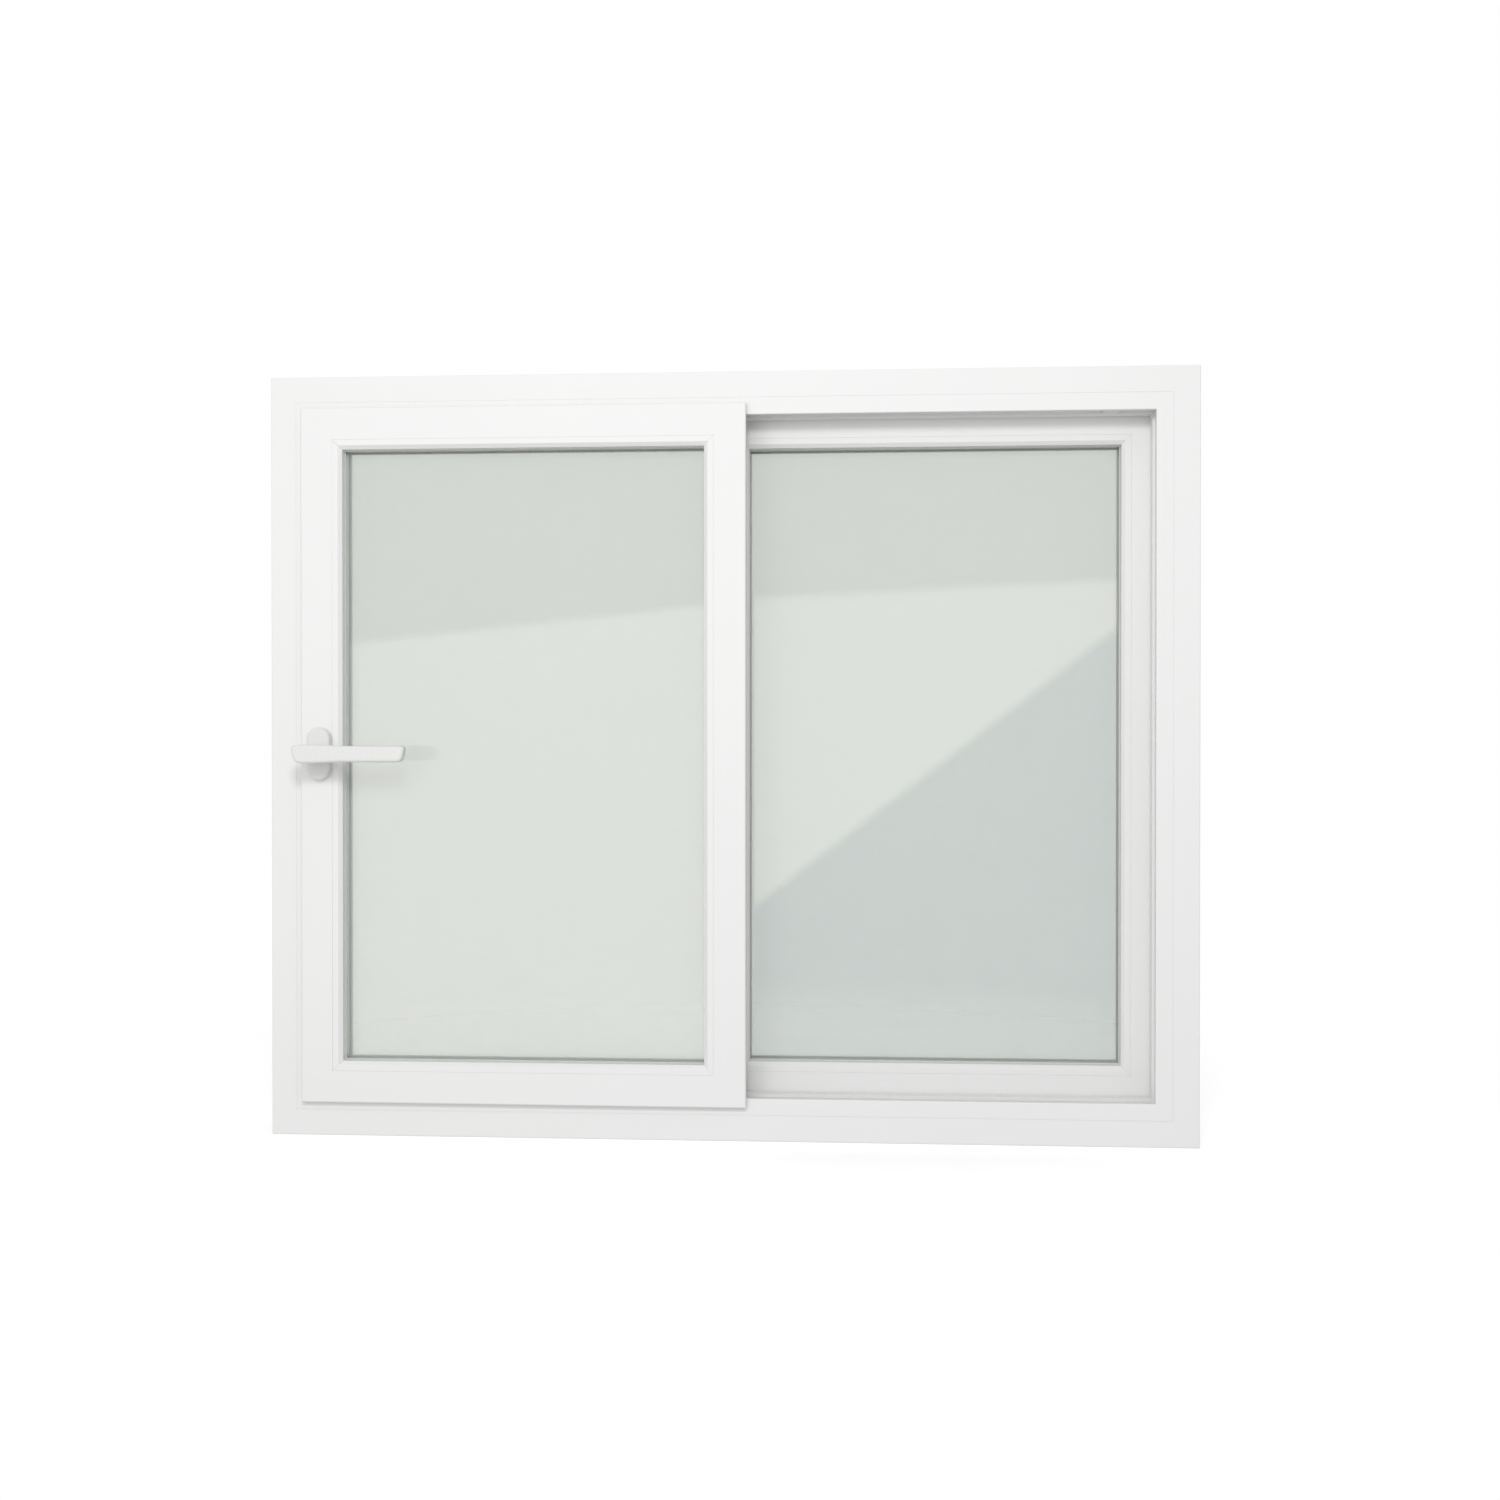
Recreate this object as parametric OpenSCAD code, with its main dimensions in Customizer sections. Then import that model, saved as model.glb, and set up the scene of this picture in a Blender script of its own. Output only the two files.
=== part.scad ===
// Two-light horizontal sliding window in white plastic profile.
// The left light slides to the right in front of the fixed right light.
// Millimetres. X runs to the right, Y into the wall (the room is at -Y), Z up.
// The origin is the centre of the frame's bottom face.

/* [Frame] */
// Overall width of the outer frame
width = 1210; // [900:10:1800]
// Overall height of the outer frame
height = 1000; // [700:10:1500]
// Depth of the outer frame through the wall
frame_depth = 120; // [110:1:140]
// Width of the frame profile seen from the room
frame_face = 56; // [52:1:70]
// Depth of the frame's front part, which carries the sliding light
front_depth = 48; // [44:1:56]

/* [Lights] */
// Thickness of both lights
sash_depth = 54; // [50:1:60]
// How far the sliding light stands out from the frame's face
sash_proud = 12; // [8:1:20]
// Half of the lap between the two lights at the middle
half_lap = 24.5; // [20:0.5:32]
// How far the lights lap over the jambs
lap_side = 12.5; // [10:0.5:16]
// How far the lights lap over the head
lap_top = 13.5; // [10:0.5:16]
// How far the lights lap over the sill
lap_bottom = 10.5; // [8:0.5:14]
// Depth of the sliding light's glazing rebate below its outer edge
sash_rebate = 42; // [42:0.5:43]
// Depth of the fixed light's glazing rebate below its outer edge
fixed_rebate = 36; // [34:0.5:42]
// Height of the beads and of the lips that hold the glass
lip = 12.5; // [12:0.5:14]
// Thickness of each glass pane
pane = 4; // [3:0.5:6]
// Clear space between the two panes of a unit
cavity = 16; // [12:1:18]

/* [Handle] */
// Height of the handle's spindle above the bottom of the frame
handle_z = 504; // [350:1:650]
// Distance from the light's outer edge to the spindle
handle_in = 26.5; // [25.5:0.5:30]
// Reach of the lever from the spindle to its tip
lever_reach = 128; // [100:1:140]
// How far the lever's heel reaches past the spindle
lever_heel = 22; // [14:1:26]
// Height of the lever
lever_tall = 21; // [16:1:26]
// Thickness of the lever
lever_thick = 14; // [10:1:18]
// Distance from the light's face to the back of the lever
lever_gap = 46; // [35:1:55]
// Distance between the two screws of the rose
screw_pitch = 43; // [43:1:43]
// Distance from the spindle to the centre of each round end of the rose
rose_half = 19; // [17:0.5:21]

/* [Running gear] */
// Tread radius of the wheels
wheel_r = 12; // [10:0.5:12]
// Distance between the two wheels of a carriage
wheel_pitch = 40; // [36:1:50]
// Travel of the drive rod between unlocked and locked
rod_travel = 18; // [14:1:20]
// Height of the cams above and below the handle
cam_reach = 300; // [200:10:330]

/* [Hidden] */
hw = width/2;
yf = -frame_depth/2;              // front face of the frame
ys = yf - sash_proud;             // front face of the sliding light
yx = yf + front_depth + 4;        // front face of the fixed light
sx0 = -hw + frame_face - lap_side; sx1 = half_lap;
fx0 = -half_lap; fx1 = hw - frame_face + lap_side;
lz0 = frame_face - lap_bottom; lz1 = height - frame_face + lap_top;
gy = ys + 32;                     // centre plane of the running gear and lock
rail_top = frame_face - 2.05;     // top of the running rail
axle_z = frame_face - 2 + wheel_r;
hx = sx0 + handle_in;             // spindle position
lock_x = sx0 + 18;                // outer edge of the sliding light's body
travel = hw - frame_face - (sx1 - 18) - 12.5; // how far the light slides
carriage_l = sx0 + 101.5; carriage_r = sx1 - 101.5;
pvc = [0.95, 0.95, 0.94]; steel = [0.6, 0.61, 0.63]; rubber = [0.45, 0.46, 0.45];
glassc = [0.8, 0.88, 0.85, 0.4]; grey = [0.55, 0.56, 0.57]; nylon = [0.3, 0.3, 0.31];

// A box between two corners
module bx(x0, x1, y0, y1, z0, z1) translate([x0, y0, z0]) cube([x1 - x0, y1 - y0, z1 - z0]);
// A round bar along Y, and one along X
module cyl_y(x, z, y0, y1, r, n = 48) translate([x, y1, z]) rotate([90, 0, 0]) cylinder(r = r, h = y1 - y0, $fn = n);
module cyl_x(y, z, x0, x1, r, n = 48) translate([x0, y, z]) rotate([0, 90, 0]) cylinder(r = r, h = x1 - x0, $fn = n);

// A profile drawn as [depth, distance from the outer edge] laid along one side of a rectangle
module lay(side, x0, x1, z0, z1, y) {
  if (side == "bottom") translate([(x0 + x1)/2, y, z0]) rotate([90, 0, 90]) linear_extrude(height = x1 - x0 + 2, center = true) children();
  if (side == "top") translate([(x0 + x1)/2, y, z1]) mirror([0, 0, 1]) rotate([90, 0, 90]) linear_extrude(height = x1 - x0 + 2, center = true) children();
  if (side == "left") translate([x0, y, (z0 + z1)/2]) mirror([1, -1, 0]) linear_extrude(height = z1 - z0 + 2, center = true) children();
  if (side == "right") translate([x1, y, (z0 + z1)/2]) mirror([1, 0, 0]) mirror([1, -1, 0]) linear_extrude(height = z1 - z0 + 2, center = true) children();
}
// The 45 degree cuts at both ends of a side, each drawn back by g
module mitre(side, x0, x1, z0, z1, t, ya, yb, g) {
  e = 5;
  translate([0, yb, 0]) rotate([90, 0, 0]) linear_extrude(height = yb - ya)
    polygon(side == "bottom" ? [[x0 - e + g, z0 - e], [x1 + e - g, z0 - e], [x1 - t - g, z0 + t], [x0 + t + g, z0 + t]]
          : side == "top" ? [[x0 - e + g, z1 + e], [x0 + t + g, z1 - t], [x1 - t - g, z1 - t], [x1 + e - g, z1 + e]]
          : side == "left" ? [[x0 - e, z0 - e + g], [x0 + t, z0 + t + g], [x0 + t, z1 - t - g], [x0 - e, z1 + e - g]]
          : [[x1 + e, z0 - e + g], [x1 + e, z1 + e - g], [x1 - t, z1 - t - g], [x1 - t, z0 + t + g]]);
}
module member(side, x0, x1, z0, z1, y, t, d, g = 0) intersection() {
  lay(side, x0, x1, z0, z1, y) children();
  mitre(side, x0, x1, z0, z1, t, y - 4, y + d + 4, g);
}
module box2(y0, y1, u0, u1) translate([y0, u0]) square([y1 - y0, u1 - u0]);

// Outer frame profile: front part with the hardware groove, and the pocket for the fixed light
module frame_profile() difference() {
  polygon([[0, 1], [1, 0], [frame_depth, 0], [frame_depth, 40], [front_depth, 40], [front_depth, frame_face],
    [31, frame_face], [31, frame_face - 10], [9, frame_face - 10], [9, frame_face], [1, frame_face], [0, frame_face - 1],
    [0, 34.6], [0.6, 34.6], [0.6, 33.4], [0, 33.4]]);
  box2(3, front_depth - 3, 3, frame_face - 13);
  box2(front_depth + 3, front_depth + 37, 3, 37);
  box2(front_depth + 40, frame_depth - 3, 3, 37);
}
module frame_member(side) member(side, -hw, hw, 0, height, yf, frame_face + 1, frame_depth) frame_profile();
// Light profile: front flange, hardware groove, glazing rebate at distance f, and rear lip
module sash_profile(f) difference() {
  polygon([[0, 1.5], [1.5, 0], [10, 0], [10, 18], [24, 18], [24, f - 5], [40, f - 5], [40, 18],
    [sash_depth, 18], [sash_depth, f + lip], [sash_depth - 7, f + lip], [sash_depth - 7, f], [0, f]]);
  box2(2.5, 7.5, 3, 17.5);
  box2(2.5, 21.5, 20, f - 2.5);
  box2(42.5, sash_depth - 2.5, 20, f - 2.5);
}
module slide_member(side) member(side, sx0, sx1, lz0, lz1, ys, 57, sash_depth) sash_profile(sash_rebate);
module fixed_member(side) member(side, fx0, fx1, lz0, lz1, yx, 57, sash_depth) sash_profile(fixed_rebate);
// Glazing bead with its sloping edge towards the glass
module bead_profile(f) difference() {
  polygon([[0, f], [17, f], [17, f + lip], [5, f + lip], [0, f + lip - 5]]);
  box2(6, 14.5, f + 2.5, f + lip - 2.5);
}
module beads(x0, x1, y, f) for (s = ["bottom", "top", "left", "right"])
  member(s, x0, x1, lz0, lz1, y, 57, 17, 0.1) bead_profile(f);
// A pane, whose edges stand 3 mm off the rebate
module pane_box(x0, x1, y0, y1, f) bx(x0 + f + 3, x1 - f - 3, y0, y1, lz0 + f + 3, lz1 - f - 3);
// A rectangular ring between two distances from the light's outer edge
module ring(x0, x1, y0, y1, u0, u1) difference() {
  bx(x0 + u0, x1 - u0, y0, y1, lz0 + u0, lz1 - u0);
  bx(x0 + u1, x1 - u1, y0 - 1, y1 + 1, lz0 + u1, lz1 - u1);
}
module spacer(x0, x1, y, f) ring(x0, x1, y + 20 + pane, y + 20 + pane + cavity, f + 6, f + lip - 1);
module front_gasket(x0, x1, y, f) ring(x0, x1, y + 17, y + 20, f + 6, f + lip + 1);
module rear_gasket(x0, x1, y, f) ring(x0, x1, y + 44, y + 47, f + 6, f + lip + 1);
module blocks(x0, x1, y, f) for (x = [x0 + 130, x1 - 130]) bx(x - 50, x + 50, y + 20, y + 24 + cavity + pane, lz0 + f, lz0 + f + 3);
module tube(x0, x1, y0, y1, z0, z1, a) difference() {
  bx(x0, x1, y0, y1, z0, z1);
  if (a == "x") bx(x0 - 1, x1 + 1, y0 + 1.5, y1 - 1.5, z0 + 1.5, z1 - 1.5);
  else bx(x0 + 1.5, x1 - 1.5, y0 + 1.5, y1 - 1.5, z0 - 1, z1 + 1);
}

module frame_head() color(pvc) frame_member("top");
module frame_sill() color(pvc) frame_member("bottom");
module frame_left_jamb() color(pvc) difference() {
  frame_member("left");
  for (z = [height/2 - 300, height/2 + 300]) cyl_x(yf + 68, z, -hw - 1, -hw + 41, 4);
}
module frame_right_jamb() color(pvc) difference() {
  frame_member("right");
  for (z = [height/2 - 300, height/2 + 300]) cyl_x(yf + 68, z, hw - 41, hw + 1, 4);
}
module frame_steel_bars() color(steel) {
  tube(-hw + 70, hw - 70, yf + 5, yf + 43, 3, 37, "x");
  tube(-hw + 70, hw - 70, yf + 5, yf + 43, height - 37, height - 3, "x");
  tube(-hw + 3, -hw + 37, yf + 5, yf + 43, 70, height - 70, "z");
  tube(hw - 37, hw - 3, yf + 5, yf + 43, 70, height - 70, "z");
}
// Cover profiles that close the empty pocket beside the sliding light
module rear_covers() color(pvc) for (s = ["bottom", "top", "left"]) intersection() {
  member(s, -hw, hw, 0, height, yf, frame_face + 1, frame_depth, 0.1) difference() {
    box2(front_depth, frame_depth, 40, frame_face);
    box2(front_depth + 3, frame_depth - 3, 43, frame_face - 3);
  }
  bx(-hw, fx0 - 0.5, yf, -yf, 0, height);
}
// Trims that hold the fixed light in its pocket from behind
module rear_trims() color(pvc) for (s = ["bottom", "top", "right"]) intersection() {
  member(s, -hw, hw, 0, height, yf, frame_face + 1, frame_depth, 0.1)
    box2(front_depth + 4 + sash_depth, frame_depth, 40, frame_face);
  bx(fx0 - 0.5, hw, yf, -yf, 0, height);
}
module running_rail() color([0.8, 0.81, 0.82]) {
  bx(-hw + frame_face + 1, hw - frame_face - 1, gy - 10, gy + 10, frame_face - 10, frame_face - 8);
  bx(-hw + frame_face + 1, hw - frame_face - 1, gy - 2, gy + 2, frame_face - 8.01, rail_top);
}
// Keepers in the left jamb's groove; each has a slot open at its lower end
module strikers() color(steel) for (z = [handle_z - cam_reach, handle_z + cam_reach]) difference() {
  bx(-hw + frame_face - 10, -hw + frame_face - 0.8, gy - 11, gy + 11, z + 10, z + 40);
  bx(-hw + frame_face - 11, -hw + frame_face - 3.2, gy - 8.5, gy + 8.5, z + 9, z + 37);
  bx(-hw + frame_face - 4, -hw + frame_face, gy - 3.6, gy + 3.6, z + 9, z + rod_travel);
  cyl_x(gy, z + rod_travel, -hw + frame_face - 4, -hw + frame_face, 3.6);
}
// Buffer in the head's groove that the right guide block meets when the light is fully open
module travel_stop() color(pvc)
  bx(carriage_r + 30 + travel + 0.5, carriage_r + 50 + travel + 0.5, gy - 11, gy + 11, height - frame_face + 0.5, height - frame_face + 10);
module fixed_light_seal() color(rubber) for (s = ["bottom", "top", "right"]) intersection() {
  member(s, -hw, hw, 0, height, yf, frame_face + 1, frame_depth) box2(front_depth, front_depth + 4, 46, 52);
  bx(fx0, hw, yf, -yf, 0, height);
}
module fixed_light_packers() color(nylon)
  for (x = [fx0 + 130, fx1 - 130]) bx(x - 30, x + 30, yx + 12, yx + 52, 40, lz0 + 18);

module fixed_top_rail() color(pvc) fixed_member("top");
module fixed_bottom_rail() color(pvc) fixed_member("bottom");
module fixed_meeting_stile() color(pvc) fixed_member("left");
module fixed_jamb_stile() color(pvc) fixed_member("right");
module light_steel(x0, x1, y, f, side_z) color(steel) {
  tube(x0 + 75, x1 - 75, y + 3.5, y + 20.5, lz0 + 22.5, lz0 + f - 2.5, "x");
  tube(x0 + 75, x1 - 75, y + 3.5, y + 20.5, lz1 - f + 2.5, lz1 - 22.5, "x");
  for (r = side_z) tube(x0 + 22.5, x0 + f - 2.5, y + 3.5, y + 20.5, r[0], r[1], "z");
  tube(x1 - f + 2.5, x1 - 22.5, y + 3.5, y + 20.5, lz0 + 75, lz1 - 75, "z");
}
module fixed_steel_bars() light_steel(fx0, fx1, yx, fixed_rebate, [[lz0 + 75, lz1 - 75]]);
module fixed_beads() color(pvc) beads(fx0, fx1, yx, fixed_rebate);
module fixed_inner_pane() color(glassc) pane_box(fx0, fx1, yx + 20, yx + 20 + pane, fixed_rebate);
module fixed_outer_pane() color(glassc) pane_box(fx0, fx1, yx + 20 + pane + cavity, yx + 20 + 2*pane + cavity, fixed_rebate);
module fixed_spacer() color(steel) spacer(fx0, fx1, yx, fixed_rebate);
module fixed_front_gasket() color(rubber) front_gasket(fx0, fx1, yx, fixed_rebate);
module fixed_rear_gasket() color(rubber) rear_gasket(fx0, fx1, yx, fixed_rebate);
module fixed_setting_blocks() color(nylon) blocks(fx0, fx1, yx, fixed_rebate);
module fixed_interlock() color(pvc) {
  bx(-16, -8, yx - 1.5, yx, lz0 + 21, lz1 - 21);
  bx(-9.5, -8, yx - 7.5, yx - 1.49, lz0 + 21, lz1 - 21);
  bx(-8.01, -1, yx - 7.5, yx - 6, lz0 + 21, lz1 - 21);
}

module sash_top_rail() color(pvc) slide_member("top");
module sash_bottom_rail() color(pvc) slide_member("bottom");
module sash_lock_stile() color(pvc) difference() {
  slide_member("left");
  cyl_y(hx, handle_z, ys - 1, ys + 24.5, 5.4);
  for (z = [-screw_pitch/2, screw_pitch/2]) cyl_y(hx, handle_z + z, ys - 1, ys + 24.5, 2.7, 32);
  for (z = screw_zs) cyl_x(gy, z, sx0 + 36, sx0 + 41, 1.9, 24);
}
module sash_meeting_stile() color(pvc) slide_member("right");
module sash_steel_bars() light_steel(sx0, sx1, ys, sash_rebate, [[lz0 + 75, handle_z - 44], [handle_z + 44, lz1 - 75]]);
module sash_beads() color(pvc) beads(sx0, sx1, ys, sash_rebate);
module sash_inner_pane() color(glassc) pane_box(sx0, sx1, ys + 20, ys + 20 + pane, sash_rebate);
module sash_outer_pane() color(glassc) pane_box(sx0, sx1, ys + 20 + pane + cavity, ys + 20 + 2*pane + cavity, sash_rebate);
module sash_spacer() color(steel) spacer(sx0, sx1, ys, sash_rebate);
module sash_front_gasket() color(rubber) front_gasket(sx0, sx1, ys, sash_rebate);
module sash_rear_gasket() color(rubber) rear_gasket(sx0, sx1, ys, sash_rebate);
module sash_setting_blocks() color(nylon) blocks(sx0, sx1, ys, sash_rebate);
// Weather seal on the back of the flange, along the jamb, the head and the sill
module sash_seal() color(rubber) difference() {
  bx(sx0 + 3, sx1 - 0.5, ys + 10, ys + sash_proud, lz0 + 3, lz1 - 3);
  bx(sx0 + 8, sx1, ys + 9, ys + sash_proud + 1, lz0 + 8, lz1 - 8);
}
module sash_interlock() color(pvc) {
  bx(-12, 4, ys + sash_depth, ys + sash_depth + 1.5, lz0 + 21, lz1 - 21);
  bx(2.5, 4, ys + sash_depth + 1.49, ys + sash_depth + 7.5, lz0 + 21, lz1 - 21);
  bx(-5, 2.51, ys + sash_depth + 6, ys + sash_depth + 7.5, lz0 + 21, lz1 - 21);
}

// Two roller housings in the bottom rail's groove, open downwards over each wheel
module carriages() color(nylon) for (x = [carriage_l, carriage_r]) difference() {
  bx(x - 50, x + 50, gy - 7.8, gy + 7.8, lz0 + 18.5, lz0 + 37);
  for (s = [-1, 1]) {
    bx(x + s*wheel_pitch/2 - 15.5, x + s*wheel_pitch/2 + 15.5, gy - 5.4, gy + 5.4, lz0 + 18, lz0 + 35.5);
    cyl_y(x + s*wheel_pitch/2, axle_z, gy - 8, gy + 8, 2.6, 32);
  }
}
wheel_x = [carriage_l - wheel_pitch/2, carriage_l + wheel_pitch/2, carriage_r - wheel_pitch/2, carriage_r + wheel_pitch/2];
module wheel_axles() color(steel) for (x = wheel_x) cyl_y(x, axle_z, gy - 7.8, gy + 7.8, 2.5, 32);
module wheel(x) color([0.9, 0.9, 0.88]) difference() {
  union() {
    cyl_y(x, axle_z, gy - 5, gy + 5, wheel_r, 96);
    cyl_y(x, axle_z, gy - 5, gy - 2.4, wheel_r + 2, 96);
    cyl_y(x, axle_z, gy + 2.4, gy + 5, wheel_r + 2, 96);
  }
  cyl_y(x, axle_z, gy - 6, gy + 6, 2.55, 32);
}
module wheel_1() wheel(wheel_x[0]);
module wheel_2() wheel(wheel_x[1]);
module wheel_3() wheel(wheel_x[2]);
module wheel_4() wheel(wheel_x[3]);
// Guide blocks that run in the head's groove
module top_guides() color(nylon) for (x = [carriage_l, carriage_r]) {
  bx(x - 30, x + 30, gy - 7.8, gy + 7.8, lz1 - 37, lz1 - 17.99);
  bx(x - 30, x + 30, gy - 10.8, gy + 10.8, lz1 - 18, height - frame_face + 7);
}

// Lock: faceplate, gearbox and the rod that the lever drives
screw_zs = [handle_z - 369, handle_z - 124, handle_z + 124, handle_z + 369];
module lock_faceplate() color(steel) difference() {
  bx(lock_x - 2, lock_x, gy - 10, gy + 10, handle_z - 384, handle_z + 384);
  for (z = [handle_z - cam_reach, handle_z + cam_reach]) {
    bx(lock_x - 3, lock_x + 1, gy - 3.4, gy + 3.4, z, z + rod_travel);
    cyl_x(gy, z, lock_x - 3, lock_x + 1, 3.4);
    cyl_x(gy, z + rod_travel, lock_x - 3, lock_x + 1, 3.4);
  }
  for (z = screw_zs) cyl_x(gy, z, lock_x - 3, lock_x + 1, 3.5, 32);
}
module faceplate_screws() color(grey) for (z = screw_zs) {
  cyl_x(gy, z, lock_x - 2, lock_x, 3.4, 32);
  cyl_x(gy, z, lock_x - 0.01, sx0 + 41, 1.8, 24);
}
module gearbox() color(grey) difference() {
  bx(sx0 + 21, sx0 + 37, gy - 7.6, gy + 7.6, handle_z - 40, handle_z + 40);
  cyl_y(hx, handle_z, gy - 8, gy + 8, 5.1);
  for (z = [-screw_pitch/2, screw_pitch/2]) cyl_y(hx, handle_z + z, gy - 8, gy + 2, 2.6, 32);
}
module drive_rod() color(grey) difference() {
  bx(lock_x + 0.3, lock_x + 2.3, gy - 6, gy + 6, handle_z - 344, handle_z + 346);
  for (z = [screw_zs[1], screw_zs[2]]) {
    bx(lock_x, lock_x + 3, gy - 2.3, gy + 2.3, z - rod_travel - 1, z);
    cyl_x(gy, z, lock_x, lock_x + 3, 2.3, 24);
    cyl_x(gy, z - rod_travel - 1, lock_x, lock_x + 3, 2.3, 24);
  }
}
module locking_cams() color(steel) for (z = [handle_z - cam_reach, handle_z + cam_reach]) {
  cyl_x(gy, z, lock_x - 9.51, lock_x + 0.3, 3, 32);
  cyl_x(gy, z, lock_x - 12.5, lock_x - 9.5, 6);
}

// Handle: rose, lever and square spindle
module stadium(r, c) union() {
  translate([0, c]) circle(r = r, $fn = 64);
  translate([0, -c]) circle(r = r, $fn = 64);
  translate([-r, -c]) square([2*r, 2*c]);
}
module rose_plate(y0, y1, r, c) translate([hx, y1, handle_z]) rotate([90, 0, 0]) linear_extrude(height = y1 - y0) stadium(r, c);
module rose_base() color(grey) difference() {
  rose_plate(ys - 6, ys, 13, rose_half);
  cyl_y(hx, handle_z, ys - 7, ys + 1, 9.05, 64);
  for (z = [-screw_pitch/2, screw_pitch/2]) cyl_y(hx, handle_z + z, ys - 7, ys + 1, 2.6, 32);
}
module rose_cover() color(pvc) difference() {
  union() {
    rose_plate(ys - 10, ys, 15.5, rose_half);
    rose_plate(ys - 12, ys - 9.99, 14, rose_half);
  }
  rose_plate(ys - 10, ys + 1, 13.5, rose_half);
  cyl_y(hx, handle_z, ys - 13, ys, 9.4, 64);
}
module handle_screws() color(grey) for (z = [-screw_pitch/2, screw_pitch/2]) {
  cyl_y(hx, handle_z + z, ys - 9, ys - 6, 4.4, 32);
  cyl_y(hx, handle_z + z, ys - 6.01, gy, 2.5, 32);
}
// Both ends of the lever slant, so that its top edge is the longer one
module lever_outline(d) {
  corner = 6;
  slant = 5;
  up = lever_tall/2 - corner;
  circle(r = 12 - d, $fn = 64);
  hull() for (c = [[corner - lever_heel, up], [corner + slant - lever_heel, -up],
      [lever_reach - corner - slant, -up], [lever_reach - corner, up]])
    translate(c) circle(r = corner - d, $fn = 32);
}
module lever_slab(y0, y1, d) translate([hx, y1, handle_z]) rotate([90, 0, 0]) linear_extrude(height = y1 - y0) lever_outline(d);
module handle_lever() color(pvc) {
  yb = ys - lever_gap;
  lever_slab(yb - lever_thick + 2, yb - 2, 0);
  lever_slab(yb - lever_thick, yb - lever_thick + 2.01, 2);
  lever_slab(yb - 2.01, yb, 2);
  cyl_y(hx, handle_z, yb - 0.01, ys, 9, 64);
}
module spindle() color(steel) bx(hx - 3.5, hx + 3.5, ys, gy + 7, handle_z - 3.5, handle_z + 3.5);

frame_head();
frame_sill();
frame_left_jamb();
frame_right_jamb();
frame_steel_bars();
rear_covers();
rear_trims();
running_rail();
strikers();
travel_stop();
fixed_light_seal();
fixed_light_packers();
fixed_top_rail();
fixed_bottom_rail();
fixed_meeting_stile();
fixed_jamb_stile();
fixed_steel_bars();
fixed_beads();
fixed_inner_pane();
fixed_outer_pane();
fixed_spacer();
fixed_front_gasket();
fixed_rear_gasket();
fixed_setting_blocks();
fixed_interlock();
sash_top_rail();
sash_bottom_rail();
sash_lock_stile();
sash_meeting_stile();
sash_steel_bars();
sash_beads();
sash_inner_pane();
sash_outer_pane();
sash_spacer();
sash_front_gasket();
sash_rear_gasket();
sash_setting_blocks();
sash_seal();
sash_interlock();
carriages();
wheel_axles();
top_guides();
lock_faceplate();
faceplate_screws();
gearbox();
rose_base();
rose_cover();
handle_screws();
handle_lever();
spindle();
drive_rod();
locking_cams();
wheel_1();
wheel_2();
wheel_3();
wheel_4();
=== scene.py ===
import math

import bmesh
import bpy
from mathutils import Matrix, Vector


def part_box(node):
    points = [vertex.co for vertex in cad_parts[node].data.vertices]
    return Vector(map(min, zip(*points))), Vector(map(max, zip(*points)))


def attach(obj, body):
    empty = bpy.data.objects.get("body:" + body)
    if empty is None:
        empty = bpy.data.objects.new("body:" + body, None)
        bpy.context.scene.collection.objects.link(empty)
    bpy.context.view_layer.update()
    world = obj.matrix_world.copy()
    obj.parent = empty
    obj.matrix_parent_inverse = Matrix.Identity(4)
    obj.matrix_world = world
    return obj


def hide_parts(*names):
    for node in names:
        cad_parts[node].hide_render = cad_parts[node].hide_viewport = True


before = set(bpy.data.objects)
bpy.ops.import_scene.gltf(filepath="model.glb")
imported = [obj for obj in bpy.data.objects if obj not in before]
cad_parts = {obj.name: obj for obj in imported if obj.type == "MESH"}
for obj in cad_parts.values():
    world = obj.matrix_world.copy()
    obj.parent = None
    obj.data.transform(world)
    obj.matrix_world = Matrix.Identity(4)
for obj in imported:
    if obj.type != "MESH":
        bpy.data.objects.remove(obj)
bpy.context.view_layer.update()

# --- Outer frame -----------------------------------------------------------
# Four bars of extruded white rigid plastic, sawn at 45 degrees and welded at
# the corners. The weld is scraped flat, which leaves a hairline groove, and
# the die leaves faint lines along each bar.


class Value:
    """One socket of a material, with the arithmetic used on it."""

    def __init__(self, tree, socket):
        self.tree, self.socket = tree, socket

    def maths(self, operation, first, second):
        node = self.tree.nodes.new("ShaderNodeMath")
        node.operation = operation
        for spot, value in zip(node.inputs, (first, second)):
            if isinstance(value, Value):
                self.tree.links.new(value.socket, spot)
            else:
                spot.default_value = value
        return Value(self.tree, node.outputs[0])

    def __add__(self, other):
        return self.maths("ADD", self, other)

    __radd__ = __add__

    def __sub__(self, other):
        return self.maths("SUBTRACT", self, other)

    def __rsub__(self, other):
        return self.maths("SUBTRACT", other, self)

    def __mul__(self, other):
        return self.maths("MULTIPLY", self, other)

    __rmul__ = __mul__


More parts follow.
